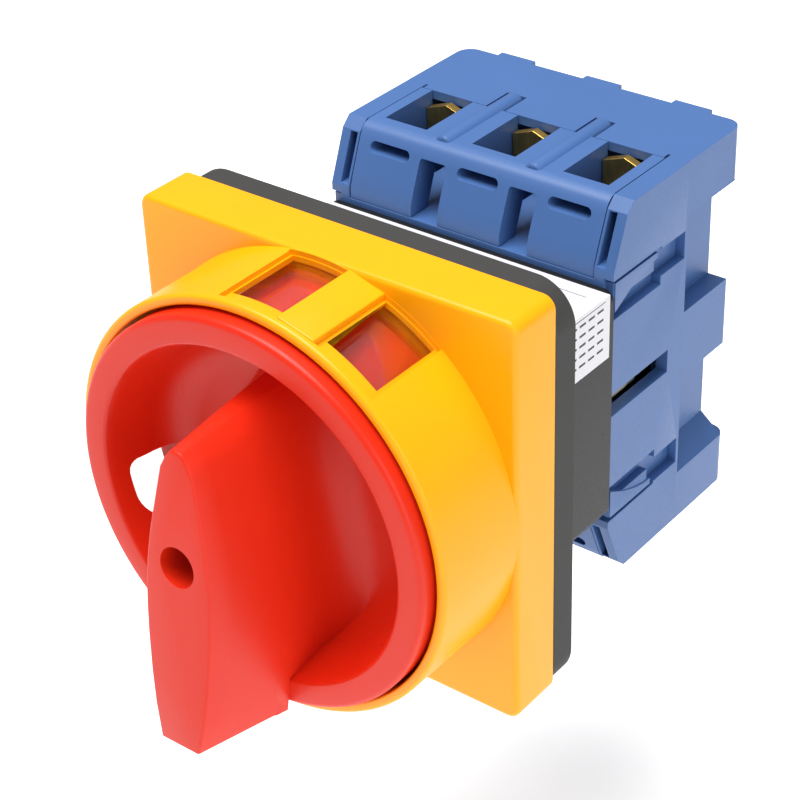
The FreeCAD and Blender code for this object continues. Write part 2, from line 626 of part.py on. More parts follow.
def contact_bridge(pole):
    """Copper bridge with a silver-faced tip at each end."""
    bar = box((f"{pole} - 3", f"{pole} + 3"), ("pin_rest + 13", "pin_rest + 14.2"), ("-10", "10"),
              "BridgeBar")
    tips = [rod("y", "2", ("pin_rest + 14.1", "tip_line - travel - 0.05"), pole, f"{sign} * 8", "BridgeTip")
            for sign in (-1, 1)]
    return fuse([bar] + tips, "ContactBridge")


def contact_springs():
    springs = []
    for number, pole in enumerate((-1, 0, 1)):
        spring = coil(1.9, 0.35, 3.2, 3, f"ContactCoil{number}")
        spring.Placement = Placement(Vector(pole * sheet.get("pole_pitch"), 33.4, 0), AXES["y"])
        springs.append(spring)
    return group(springs, "ContactSprings")


def fixed_contact(pole, flip):
    """Terminal strip that ends in the contact tip that the bridge meets."""
    strip = box((f"{pole} - 3.2", f"{pole} + 3.2"), ("tip_line + 0.8", "tip_line + 0.8 + strip_thick"),
                ("6", "28.6"), "Strip")
    tip = rod("y", "2", ("tip_line", "tip_line + 0.9"), pole, 8, "StripTip")
    hole = rod("y", "2.1", ("tip_line", "tip_line + 3"), pole, "terminal_line", "StripHole")
    return mirrored_z(cut(fuse([strip, tip], "StripBlank"), [hole], "StripCut"), flip, "FixedContact")


def saddle_clamp(pole, flip):
    """Gabled brass plate that the terminal screw draws back on to the wire."""
    outline = [(f"{pole} - 3.6", "20.6"), (f"{pole} + 3.6", "20.6"), (f"{pole} + 3.6", "28.8"),
               (pole, "30.1"), (f"{pole} - 3.6", "28.8")]
    plate = prism("xz", outline, ("36.5", "37.9"), "ClampPlate")
    collar = rod("y", "3.2", ("37.8", "40"), pole, "terminal_line", "ClampCollar")
    hole = rod("y", "1.95", ("36", "41"), pole, "terminal_line", "ClampHole")
    return mirrored_z(cut(fuse([plate, collar], "ClampBlank"), [hole], "ClampCut"), flip, "SaddleClamp")


def terminal_screws(flip):
    screws = []
    for pole in POLES:
        head = rod("y", "3.3", ("tip_line + 2.35", "tip_line + 4.9"), pole, "terminal_line", "TermHead")
        slot = [box((f"{pole} - {a}", f"{pole} + {a}"), ("tip_line + 3.6", "tip_line + 5.5"),
                    (f"terminal_line - {b}", f"terminal_line + {b}"), "TermSlot")
                for a, b in ((2.2, 0.45), (0.45, 2.2))]
        shank = rod("y", "1.9", ("36.4", "tip_line + 2.4"), pole, "terminal_line", "TermShank")
        screws.append(mirrored_z(cut(fuse([head, shank], "TermBlank"), slot, "TermScrew"), flip, "TermLow"))
    return group(screws, "TerminalScrews")


# ---------------------------------------------------------------- the assembly's nodes
node("front_bezel", front_bezel())
node("window_lenses", window_lenses())
node("panel_gasket", panel_gasket())
node("fixing_screws", fixing_screws())
node("shaft_seal", shaft_seal())
node("rotary_handle", rotary_handle())
node("handle_screw", handle_screw())
node("drive_shaft", drive_shaft())
node("mechanism_housing", mechanism_housing())
node("mechanism_end_plate", mechanism_end_plate())
node("index_wheel", index_wheel())
for side, sign in (("left", -1), ("right", 1)):
    node(f"index_leaf_{side}", index_leaf(sign))
node("rating_label", rating_label())
node("contact_housing", contact_housing())
node("rear_housing", rear_housing())
node("housing_screws", housing_screws())
node("cam_drum", cam_drum())
node("contact_carrier", contact_carrier())
node("contact_springs", contact_springs())
for side, flip in SIDES:
    node(f"terminal_cover_{side}", terminal_cover(flip))
    node(f"terminal_screws_{side}", terminal_screws(flip))
for number, pole in enumerate(POLES, start=1):
    node(f"contact_bridge_{number}", contact_bridge(pole))
    for side, flip in SIDES:
        node(f"fixed_contact_{side}_{number}", fixed_contact(pole, flip))
        node(f"saddle_clamp_{side}_{number}", saddle_clamp(pole, flip))

# ---------------------------------------------------------------- check and write
doc.recompute()
for item in doc.Objects:
    if "Invalid" in item.State or "Error" in item.State:
        raise RuntimeError(f"{item.Name} did not build: {item.State}")
for item in nodes:
    if item.Shape.isNull() or not item.Shape.isValid():
        raise RuntimeError(f"{item.Label} has no valid shape")

os.makedirs("parts", exist_ok=True)
for item in nodes:
    item.Shape.exportStep(f"parts/{item.Label}.step")
    print(item.Label, "solids", len(item.Shape.Solids), "volume", round(item.Shape.Volume, 1))
print(len(nodes), "nodes")
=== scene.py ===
"""Rotary isolator switch: the visible pieces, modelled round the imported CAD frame.

Lengths in the modelling code are millimetres; finished pieces are written in metres.
Angles round the shaft run clockwise from the top, as seen from the front.
"""

import math

import bmesh
import bpy
from bpy.props import FloatProperty, FloatVectorProperty, PointerProperty
from mathutils import Matrix, Vector


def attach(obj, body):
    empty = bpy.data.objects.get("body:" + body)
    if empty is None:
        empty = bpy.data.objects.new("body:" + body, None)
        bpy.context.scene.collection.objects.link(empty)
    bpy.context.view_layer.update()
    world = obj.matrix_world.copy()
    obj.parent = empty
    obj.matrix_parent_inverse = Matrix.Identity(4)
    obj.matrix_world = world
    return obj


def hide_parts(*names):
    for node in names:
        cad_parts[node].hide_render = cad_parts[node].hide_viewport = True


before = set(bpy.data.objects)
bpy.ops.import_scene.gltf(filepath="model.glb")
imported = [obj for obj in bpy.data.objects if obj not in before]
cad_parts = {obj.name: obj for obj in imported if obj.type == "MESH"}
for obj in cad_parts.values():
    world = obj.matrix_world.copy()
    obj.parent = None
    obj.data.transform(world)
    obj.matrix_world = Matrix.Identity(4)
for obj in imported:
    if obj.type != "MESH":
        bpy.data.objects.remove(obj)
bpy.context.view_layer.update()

bl_info = {
    "name": "Rotary isolator switch",
    "version": (1, 0, 0),
    "blender": (4, 5, 0),
    "location": "3D View > Sidebar > Isolator",
    "description": "Builds the visible pieces of a panel-mounted rotary isolator",
    "category": "Add Mesh",
}

MM = 0.001
FRONT = -13.2                     # front face of the square plate
RIM = -28.7                       # front rim of the collar
RING = -30.9                      # front face of the handle's ring
POLES = (-15.8, 0.0, 15.8)        # pole centres across the contact block
WINDOWS = (1.1, 30.3, -81.8, -111.0)    # directions of the collar's windows, in degrees
RIBS = (15.3, -96.4)              # ribs between the two windows of each pair
BEDS = ((-7.8, 39.5), (-122.0, -70.8))  # recessed beds round each pair
PLATE_HALF = 32.0                 # half the plate's side
PLATE_REAR = -4.6                 # plate's rear edge, on the gasket
SKIN = 2.4                        # plate's thickness
SCREWS = [(x, z) for x in (-18, 18) for z in (-14, 14)]
CUP_DEPTH = 11.1                  # ring's face to the cup's floor
CUP_WALL = 2.4                    # thickness of the cup's floor
LOCK_ANGLE = -107.0               # direction of the padlock opening
SEAM = 39.5                       # plane where the block's two housings meet
RIB_ACROSS = 7.9                  # cover ribs and notches stand this far either side
FLAT = 0.6                        # faces within this many degrees are made one


# ---------------------------------------------------------------- colour and materials
def linear(code):
    """sRGB hex such as "f2a100" as a linear RGBA tuple."""
    def channel(value):
        return value / 12.92 if value <= 0.04045 else ((value + 0.055) / 1.055) ** 2.4
    rgb = [int(code[i:i + 2], 16) / 255 for i in (0, 2, 4)]
    return tuple(channel(value) for value in rgb) + (1.0,)


def add_node(tree, kind, links=None, **settings):
    """Add one shader node; settings go to its properties, or to its sockets by name."""
    node = tree.nodes.new(kind)
    for name, value in settings.items():
        if hasattr(node, name) and name not in node.inputs:
            setattr(node, name, value)
        else:
            node.inputs[name.replace("_", " ")].default_value = value
    for socket, source in (links or {}).items():
        tree.links.new(source, node.inputs[socket])
    return node


def new_material(name, **shader):
    """Empty material with one Principled shader; numbers are set on its own sockets."""
    material = bpy.data.materials.new(name)
    material.use_nodes = True
    tree = material.node_tree
    tree.nodes.clear()
    principled = add_node(tree, "ShaderNodeBsdfPrincipled")
    for socket, value in shader.items():
        principled.inputs[socket.replace("_", " ")].default_value = value
    out = add_node(tree, "ShaderNodeOutputMaterial", {"Surface": principled.outputs["BSDF"]})
    out.target = "ALL"
    return material, tree, principled


def moulded(name, base, roughness, grain_mm, depth, mottle=0.04, subsurface=0.0, sheen=0.5):
    """Injection-moulded plastic: a fine skin grain in the gloss and a faint drift of tone."""
    material, tree, principled = new_material(name, Roughness=roughness, IOR=1.5)
    place = add_node(tree, "ShaderNodeTexCoord").outputs["Object"]
    drift = add_node(tree, "ShaderNodeTexNoise", {"Vector": place}, Scale=1 / (14 * MM), Detail=2.0)
    dark = tuple(c * (1 - mottle) for c in base[:3]) + (1.0,)
    light = tuple(min(1.0, c * (1 + mottle)) for c in base[:3]) + (1.0,)
    tone = add_node(tree, "ShaderNodeMix", {"Factor": drift.outputs["Fac"]}, data_type="RGBA")
    tone.inputs[6].default_value = dark
    tone.inputs[7].default_value = light
    tree.links.new(tone.outputs[2], principled.inputs["Base Color"])
    grain = add_node(tree, "ShaderNodeTexNoise", {"Vector": place}, Scale=1 / (grain_mm * MM), Detail=3.0)
    gloss = add_node(tree, "ShaderNodeMapRange", {"Value": grain.outputs["Fac"]})
    gloss.inputs["From Min"].default_value = 0.3
    gloss.inputs["From Max"].default_value = 0.7
    gloss.inputs["To Min"].default_value = max(0.02, roughness - 0.05)
    gloss.inputs["To Max"].default_value = roughness + 0.05
    tree.links.new(gloss.outputs["Result"], principled.inputs["Roughness"])
    bump = add_node(tree, "ShaderNodeBump", {"Height": grain.outputs["Fac"]}, Strength=depth,
                    Distance=0.02 * MM)
    tree.links.new(bump.outputs["Normal"], principled.inputs["Normal"])
    if subsurface:
        principled.inputs["Subsurface Weight"].default_value = subsurface
        principled.inputs["Subsurface Radius"].default_value = (1.0, 0.5, 0.2)
        principled.inputs["Subsurface Scale"].default_value = 1.2 * MM
    principled.inputs["Specular IOR Level"].default_value = sheen
    return material


def metal(name, code, roughness, streak_mm):
    """Stamped or plated metal: fine streaks along the strip break up its reflections."""
    material, tree, principled = new_material(name, Metallic=1.0, Roughness=roughness)
    place = add_node(tree, "ShaderNodeTexCoord").outputs["Object"]
    stretch = add_node(tree, "ShaderNodeMapping", {"Vector": place}, vector_type="POINT")
    stretch.inputs["Scale"].default_value = (1.0, 1.0, 0.15)
    streaks = add_node(tree, "ShaderNodeTexNoise", {"Vector": stretch.outputs["Vector"]},
                       Scale=1 / (streak_mm * MM), Detail=4.0)
    base = linear(code)
    tone = add_node(tree, "ShaderNodeMix", {"Factor": streaks.outputs["Fac"]}, data_type="RGBA")
    tone.inputs[6].default_value = tuple(c * 0.72 for c in base[:3]) + (1.0,)
    tone.inputs[7].default_value = base
    tree.links.new(tone.outputs[2], principled.inputs["Base Color"])
    gloss = add_node(tree, "ShaderNodeMapRange", {"Value": streaks.outputs["Fac"]})
    gloss.inputs["To Min"].default_value = roughness - 0.08
    gloss.inputs["To Max"].default_value = roughness + 0.12
    tree.links.new(gloss.outputs["Result"], principled.inputs["Roughness"])
    bump = add_node(tree, "ShaderNodeBump", {"Height": streaks.outputs["Fac"]}, Strength=0.25,
                    Distance=0.02 * MM)
    tree.links.new(bump.outputs["Normal"], principled.inputs["Normal"])
    return material


def make_materials():
    """The object's finishes, by the name that the pieces ask for."""
    colours = bpy.context.scene.isolator_colours
    made = {}
    yellow, red, blue = (tuple(value) for value in (colours.plate, colours.handle, colours.block))
    # ABS, moulded in a polished tool: bright, with soft broad highlights and a little glow.
    made["yellow"] = moulded("Yellow ABS, moulded", yellow, colours.gloss, 0.5, 0.08,
                             subsurface=0.08, sheen=0.3)
    made["red"] = moulded("Red ABS, moulded", red, colours.gloss + 0.04, 0.5, 0.08, sheen=0.3)
    # Glass-filled polyamide: drier than ABS, with a faint sparkle in its skin.
    made["blue"] = moulded("Blue glass-filled polyamide, moulded", blue, 0.42, 0.35, 0.25, 0.06)
    made["black"] = moulded("Black glass-filled polyamide, moulded", linear("151515"), 0.45, 0.35, 0.3, 0.12,
                            sheen=0.35)
    made["cream"] = moulded("Natural polyamide, moulded", linear("e4dcc4"), 0.45, 0.5, 0.15, 0.03, 0.1)
    # EPDM foam sheet, die cut: dull and dark, with open pores on its cut edge.
    made["rubber"] = moulded("EPDM foam, die cut", linear("343332"), 0.72, 0.3, 0.7, 0.12)
    # Sheet metals: warm brass, pale spring steel and zinc, all with soft streaked reflections.
    made["brass"] = metal("Brass, stamped", "f0c368", 0.36, 0.5)
    made["spring"] = metal("Spring steel, pressed", "d9d8d4", 0.3, 0.3)
    made["steel"] = metal("Steel, zinc plated", "c3c5c6", 0.3, 0.4)
    # Clear polycarbonate: sharp glints over what lies behind it.
    clear, _, shader = new_material("Polycarbonate, moulded clear", Roughness=0.04, IOR=1.585,
                                    Alpha=0.45)
    shader.inputs["Base Color"].default_value = linear("fdfdfd")
    shader.inputs["Transmission Weight"].default_value = 1.0
    made["clear"] = clear
    # Vinyl film, printed: flat white with black print.
    label, _, shader = new_material("Vinyl label, printed white", Roughness=0.38, IOR=1.5)
    shader.inputs["Base Color"].default_value = linear("d9d9dd")
    made["label"] = label
    ink, _, shader = new_material("Printing ink, black", Roughness=0.5, IOR=1.5)
    shader.inputs["Base Color"].default_value = linear("1b1c20")
    made["ink"] = ink
    return made


MATERIALS = {}


# ---------------------------------------------------------------- modelling helpers
def cylinder(bm, radius, start, end, centre=(0.0, 0.0), sides=48):
    """Closed cylinder along Y, at (x, z)."""
    verts = bmesh.ops.create_cone(bm, cap_ends=True, segments=sides, radius1=radius, radius2=radius,
                                  depth=end - start)["verts"]
    # create_cone runs along +Z, so it is laid over to run along +Y
    bmesh.ops.rotate(bm, verts=verts, cent=(0, 0, 0), matrix=Matrix.Rotation(-math.pi / 2, 3, "X"))
    bmesh.ops.translate(bm, verts=verts, vec=(centre[0], (start + end) / 2, centre[1]))
    return verts


def brick(bm, x, y, z):
    """Box between two values on each axis."""
    verts = bmesh.ops.create_cube(bm, size=1.0)["verts"]
    bmesh.ops.scale(bm, verts=verts, vec=(x[1] - x[0], y[1] - y[0], z[1] - z[0]))
    bmesh.ops.translate(bm, verts=verts, vec=(sum(x) / 2, sum(y) / 2, sum(z) / 2))
    return verts


def turn(bm, verts, degrees):
    """Turn vertices clockwise round the shaft's axis."""
    bmesh.ops.rotate(bm, verts=verts, cent=(0, 0, 0), matrix=Matrix.Rotation(math.radians(degrees), 3, "Y"))


def soften(bm, verts, width, chosen=None, segments=3):
    """Round the edges among these vertices that the chosen test accepts."""
    inside = set(verts)
    edges = [e for e in bm.edges if set(e.verts) <= inside and (chosen is None or chosen(e))]
    bmesh.ops.bevel(bm, geom=edges, offset=width, affect="EDGES", segments=segments, profile=0.5,
                    material=-1, clamp_overlap=True)


def spun(bm, profile, steps=128):
    """Solid of revolution about the shaft: profile points are (radius, y), as a closed loop."""
    verts = [bm.verts.new((radius, y, 0)) for radius, y in profile]
    edges = [bm.edges.new((verts[i], verts[(i + 1) % len(verts)])) for i in range(len(verts))]
    bmesh.ops.spin(bm, geom=verts + edges, cent=(0, 0, 0), axis=(0, 1, 0), angle=2 * math.pi,
                   steps=steps, use_merge=True, use_duplicate=False)
    bmesh.ops.remove_doubles(bm, verts=bm.verts, dist=1e-4)
    bmesh.ops.recalc_face_normals(bm, faces=bm.faces)


def loft(bm, sections):
    """Solid through closed loops of points that all have the same count."""
    loops = []
    for section in sections:
        verts = [bm.verts.new(point) for point in section]
        loops.append([bm.edges.new((verts[i], verts[(i + 1) % len(verts)])) for i in range(len(verts))])
    for first, second in zip(loops, loops[1:]):
        bmesh.ops.bridge_loops(bm, edges=first + second)
    for loop in (loops[0], loops[-1]):
        bmesh.ops.contextual_create(bm, geom=loop)
    bmesh.ops.recalc_face_normals(bm, faces=bm.faces)


def arc_points(radius, centre, start, end, count):
    """Points on an arc in the profile plane, angles in degrees."""
    return [(centre[0] + radius * math.cos(math.radians(start + (end - start) * i / count)),
             centre[1] + radius * math.sin(math.radians(start + (end - start) * i / count)))
            for i in range(count + 1)]


def along_shaft(edge):
    """Edges that run along Y."""
    return abs((edge.verts[0].co - edge.verts[1].co).normalized().y) > 0.9


def arc_block(inner, outer, near, far, start, end, steps=24):
    """Part of a ring between two angles round the shaft, as its own bmesh."""
    bm = bmesh.new()
    corners = ((inner, near), (outer, near), (outer, far), (inner, far))
    verts = [bm.verts.new((0, y, radius)) for radius, y in corners]
    turn(bm, verts, start)
    face = bm.faces.new(verts)
    bmesh.ops.spin(bm, geom=[face] + list(face.edges) + verts, cent=(0, 0, 0), axis=(0, 1, 0),
                   angle=math.radians(end - start), steps=steps, use_duplicate=False)
    bmesh.ops.remove_doubles(bm, verts=bm.verts, dist=1e-4)
    bmesh.ops.recalc_face_normals(bm, faces=bm.faces)
    return bm


def scratch_object(bm):
    """Short-lived object for a boolean."""
    mesh = bpy.data.meshes.new("Scratch")
    bm.to_mesh(mesh)
    obj = bpy.data.objects.new("Scratch", mesh)
    bpy.context.scene.collection.objects.link(obj)
    return obj


def combine(bm, tools, operation):
    """Boolean of one bmesh with several others; bm takes the result."""
    base = scratch_object(bm)
    others = []
    for tool in tools:
        other = scratch_object(tool)
        others.append(other)
        modifier = base.modifiers.new("Boolean", "BOOLEAN")
        modifier.operation = operation
        modifier.solver = "EXACT"
        modifier.object = other
        tool.free()
    graph = bpy.context.evaluated_depsgraph_get()
    result = bpy.data.meshes.new_from_object(base.evaluated_get(graph))
    bm.clear()
    bm.from_mesh(result)
    bpy.data.meshes.remove(result)
    for obj in [base] + others:
        mesh = obj.data
        bpy.data.objects.remove(obj)
        bpy.data.meshes.remove(mesh)
    bmesh.ops.remove_doubles(bm, verts=bm.verts, dist=1e-4)
    return bm


def from_node(name):
    """Merged copy of a CAD node's mesh in millimetres, with its flat faces whole again."""
    bm = bmesh.new()
    bm.from_mesh(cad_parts[name].data)
    bmesh.ops.scale(bm, verts=bm.verts, vec=(1 / MM,) * 3)
    bmesh.ops.remove_doubles(bm, verts=bm.verts, dist=1e-3)
    bmesh.ops.dissolve_limit(bm, angle_limit=math.radians(FLAT), verts=bm.verts, edges=bm.edges,
                             delimit=set())
    return bm


def finish(bm, name, material, body, nodes, bevel=0.0, segments=3, angle=32, chosen=None):
    """Write a piece in metres, with soft edges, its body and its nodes.

    chosen limits which sharp edges are softened; it sees them in millimetres.
    """
    if bevel:
        weights = bm.edges.layers.float.new("bevel_weight_edge")
        limit = math.radians(angle)
        for edge in bm.edges:
            sharp = edge.is_manifold and edge.calc_face_angle(0.0) > limit
            if sharp and (chosen is None or chosen(edge)):
                edge[weights] = 1.0
    bmesh.ops.scale(bm, verts=bm.verts, vec=(MM, MM, MM))
    for face in bm.faces:
        face.smooth = True
    mesh = bpy.data.meshes.new(name)
    bm.to_mesh(mesh)
    bm.free()
    piece = bpy.data.objects.new(name, mesh)
    bpy.context.scene.collection.objects.link(piece)
    mesh.materials.append(MATERIALS[material])
    mesh.set_sharp_from_angle(angle=math.radians(angle))
    if bevel:
        modifier = piece.modifiers.new("Soft edges", "BEVEL")
        modifier.width = bevel * MM
        modifier.segments = segments
        modifier.limit_method = "WEIGHT"
        modifier.miter_outer = "MITER_ARC"
        modifier.use_clamp_overlap = True
        modifier.harden_normals = True
    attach(piece, body)
    if nodes:
        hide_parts(*nodes)
    return piece


# ---------------------------------------------------------------- settings a user may change
def colour_setting(name, description, code):
    return FloatVectorProperty(name=name, description=description, subtype="COLOR", size=4,
                               min=0.0, max=1.0, default=linear(code))


class IsolatorColours(bpy.types.PropertyGroup):
    """Colours and finish of the bright pieces."""
    plate: colour_setting("Plate", "Colour of the front plate and collar", "fca806")
    handle: colour_setting("Handle", "Colour of the rotary handle", "d9280e")
    block: colour_setting("Contact block", "Colour of the contact block", "44679f")
    gloss: FloatProperty(name="Front roughness", description="Roughness of plate and handle",
                         default=0.33, min=0.05, max=0.9)


class IsolatorHandle(bpy.types.PropertyGroup):
    """Shape of the handle's cup and paddle."""
    cup_fillet: FloatProperty(name="Cup fillet", description="Radius in the bottom of the cup, in mm",
                              default=6.0, min=1.0, max=8.0)
    edge: FloatProperty(name="Edge radius", description="Radius of the handle's crisp edges, in mm",
                        default=0.35, min=0.1, max=0.8)


class IsolatorStage(bpy.types.PropertyGroup):
    """Camera and light."""
    lens: FloatProperty(name="Lens", description="Focal length on a 36 mm sensor, in mm",
                        default=97.74, min=20, max=300)
    key_power: FloatProperty(name="Key light", description="Power of the main softbox, in watts",
                             default=7.2, min=0.0, max=50.0)
    world: FloatProperty(name="Surrounding light", description="Strength of the white surround",
                         default=0.3, min=0.0, max=3.0)


# ---------------------------------------------------------------- front plate and collar
class ISOLATOR_OT_bezel(bpy.types.Operator):
    """Square plate with the round collar and its windows"""
    bl_idname = "isolator.bezel"
    bl_label = "Front bezel"

    def execute(self, context):
        bm = bmesh.new()
        side = (-PLATE_HALF, PLATE_HALF)
        verts = brick(bm, side, (FRONT, PLATE_REAR), side)
        soften(bm, verts, 1.9, along_shaft, 6)
        front = [v for v in bm.verts if abs(v.co.y - FRONT) < 1e-3]
        soften(bm, front, 0.8, segments=4)
        # collar: a turned wall with a rounded rim and a small fillet at the plate
        wall = bmesh.new()
        profile = [(30.3, -12.0), (30.3, RIM + 0.4)]
        profile += arc_points(0.3, (30.6, RIM + 0.3), 180, 270, 3)
        profile += arc_points(0.6, (31.2, RIM + 0.6), 270, 360, 4)
        profile += [(31.8, -14.0), (31.95, -13.4), (32.0, -12.0)]
        spun(wall, profile, 180)
        hollow = bmesh.new()
        inside = (-29.8, 29.8)
        brick(hollow, inside, (FRONT + SKIN, 0), inside)
        combine(bm, [hollow], "DIFFERENCE")
        combine(bm, [wall], "UNION")
        posts = []
        for spot in SCREWS:
            post = bmesh.new()
            cylinder(post, 4.2, FRONT + SKIN - 0.2, PLATE_REAR, spot, 32)
            posts.append(post)
        combine(bm, posts, "UNION")
        tools = []
        bore = bmesh.new()
        cylinder(bore, 9.5, FRONT - 3, -4, sides=64)
        tools.append(bore)
        for spot in SCREWS:
            drill = bmesh.new()
            cylinder(drill, 2.2, FRONT - 3, -4, spot, 32)
            tools.append(drill)
        # shallow bed round each pair of windows, thinner than the collar's skin
        for start, end in BEDS:
            tools.append(arc_block(31.15, 34, RIM + 1.1, FRONT - 0.05, start, end))
        for angle in WINDOWS:
            gap = bmesh.new()
            verts = brick(gap, (-4.45, 4.45), (RIM + 3.2, FRONT - 0.2), (26, 36))
            turn(gap, verts, angle)
            tools.append(gap)
        combine(bm, tools, "DIFFERENCE")
        # flat-topped rib between the two windows of each pair
        for angle in RIBS:
            rib = bmesh.new()
            verts = brick(rib, (-3.1, 3.1), (RIM + 1.0, FRONT + 0.9), (30.6, 31.95))
            soften(rib, verts, 0.25)
            turn(rib, rib.verts, angle)
            combine(bm, [rib], "UNION")
        finish(bm, "bezel", "yellow", "housing", ["front_bezel"], 0.14, 2, 40)

        panes = from_node("window_lenses")
        finish(panes, "window_panes", "clear", "housing", ["window_lenses"], 0.1, 2)
        seal = from_node("shaft_seal")
        finish(seal, "shaft_seal_ring", "rubber", "housing", ["shaft_seal"], 0.2, 2)
        return {"FINISHED"}


class ISOLATOR_OT_gasket(bpy.types.Operator):
    """Gasket behind the plate"""
    bl_idname = "isolator.gasket"
    bl_label = "Panel gasket"

    def execute(self, context):
        bm = from_node("panel_gasket")
        finish(bm, "gasket", "rubber", "housing", ["panel_gasket"], 0.5, 3, 50)
        return {"FINISHED"}


# ---------------------------------------------------------------- handle
# half width of the paddle's face at heights down its length
PADDLE = ((17.0, 0.7), (16.6, 1.25), (15.4, 2.1), (14.0, 2.8), (10.0, 3.6), (6.5, 4.3),
          (3.0, 4.9), (0.0, 5.3), (-4.0, 5.6), (-8.0, 5.6), (-12.0, 5.45), (-18.0, 5.0),
          (-23.0, 4.4), (-28.3, 3.35))
PROUD = 13.3                      # paddle's face in front of the ring, on the axis
LEAN = 0.106                      # slope of the paddle's face
TOP, LENGTH = 17.0, 45.3          # paddle's upper end and its length
ROOT_LOW = -25.8                  # lowest point of the paddle's root inside the cup
ROOT_REACH = 27.2                 # the root stays within this radius


def paddle_section(drop, spread=0.0):
    """Right half of the paddle's outline; drop is 0 at its slanted face, 1 at the ring's plane."""
    points = []
    for z, half in PADDLE:
        face = RING - PROUD + LEAN * z
        y = face + (RING - face) * drop
        share = (TOP - z) / LENGTH
        draft = 0.055 + 0.06 * share
        out = half + (y - face) * draft + spread * min(1.0, 0.12 + 3.5 * share)
        height = z + drop * (0.8 * (1 - share) - 2.4 * share ** 4)
        if drop > 1:
            # inside the cup the paddle's root stays within the skirt's wall
            height = max(height, ROOT_LOW)
            out = min(out, math.sqrt(ROOT_REACH ** 2 - height ** 2))
        points.append((out, y, height))
    return points


def mirrored_loop(points):
    """Right-hand outline points, closed with their mirror images."""
    return points + [(-x, y, z) for x, y, z in reversed(points)]


class ISOLATOR_OT_handle(bpy.types.Operator):
    """Ring, cup and paddle of the rotary handle, with its screw"""
    bl_idname = "isolator.handle"
    bl_label = "Rotary handle"

    def execute(self, context):
        settings = context.scene.isolator_handle
        fillet = settings.cup_fillet
        floor = RING + CUP_DEPTH
        bm = bmesh.new()
        # ring and cup as one turned wall, from the hub hole outwards and back
        profile = [(2.0, floor)]
        wall_foot = 23.6
        profile += arc_points(fillet, (wall_foot - fillet, floor - fillet), 90, 8, 8)
        profile += [(25.2, RING + 1.4), (25.55, RING + 0.35)]
        profile += arc_points(0.55, (26.1, RING + 0.55), 200, 270, 4)[1:]
        profile += arc_points(0.9, (28.9, RING + 0.9), 270, 360, 5)
        profile += [(29.8, RING + 3.9), (29.5, RING + 4.2), (27.8, RING + 4.2), (27.8, FRONT - 0.4),
                    (26.6, FRONT - 0.4), (26.6, floor + CUP_WALL), (2.0, floor + CUP_WALL)]
        spun(bm, profile, 160)
        plug = bmesh.new()
        cylinder(plug, 8.0, floor + 0.4, -8.8, sides=64)
        core = bmesh.new()
        cylinder(core, 3.0, floor, floor + CUP_WALL, sides=32)
        combine(bm, [core, plug], "UNION")
        # paddle: from its face, back to the ring's plane, then flaring into the cup's floor
        sections = [mirrored_loop(paddle_section(share)) for share in (0.0, 0.3, 0.6, 0.85, 1.0)]
        levels = [floor - share * fillet for share in (1, 0.7, 0.45, 0.28, 0.14, 0.05)]
        for y in [RING + 0.9] + levels + [floor + 0.05]:
            rise = min(fillet, max(0.0, floor - y))
            spread = fillet - math.sqrt(fillet ** 2 - (fillet - rise) ** 2)
            drop = 1 + (y - RING) / PROUD
            level = paddle_section(drop, spread)
            sections.append(mirrored_loop([(x, y, z) for x, _, z in level]))
        body = bmesh.new()
        loft(body, sections)
        crease = [e for e in body.edges
                  if all(v.co.y < RING - 0.05 for v in e.verts) and e.is_manifold
                  and e.calc_face_angle(0) > math.radians(50)]
        bmesh.ops.bevel(body, geom=crease, offset=settings.edge, affect="EDGES", segments=3,
                        profile=0.5, material=-1, clamp_overlap=True)
        combine(bm, [body], "UNION")
        tools = []
        well = bmesh.new()
        cylinder(well, 2.95, -50, -36.2, sides=48)
        tools.append(well)
        bolt = bmesh.new()
        cylinder(bolt, 1.6, -50, -28, sides=32)
        tools.append(bolt)
        socket = bmesh.new()
        brick(socket, (-3.55, 3.55), (-29.05, 0), (-3.55, 3.55))
        tools.append(socket)
        # padlock opening through the cup's left wall, straight along its upper edge
        lock = bmesh.new()
        outline = arc_points(4.6, (0.0, RING + 7.6), 90, 270, 20)
        outline += arc_points(1.4, (3.0, RING + 4.4), 270, 360, 4)
        outline += arc_points(1.4, (3.0, RING + 10.8), 0, 90, 4)
        loft(lock, [[(x * 1.15, y, z) for x, y in outline] for z in (20, 31)])
        turn(lock, lock.verts, LOCK_ANGLE)
        tools.append(lock)
        combine(bm, tools, "DIFFERENCE")
        finish(bm, "handle", "red", "rotor", ["rotary_handle"], 0.0, 2, 28)
        screw = from_node("handle_screw")
        finish(screw, "handle_fixing_screw", "steel", "rotor", ["handle_screw"], 0.12, 2)
        return {"FINISHED"}


# ---------------------------------------------------------------- mechanism
PRINT_SIDE = (25.28, 25.32)       # depth of the ink on the label's side, along X
PRINT_TOP = (19.13, 19.17)        # and on its top, along Z


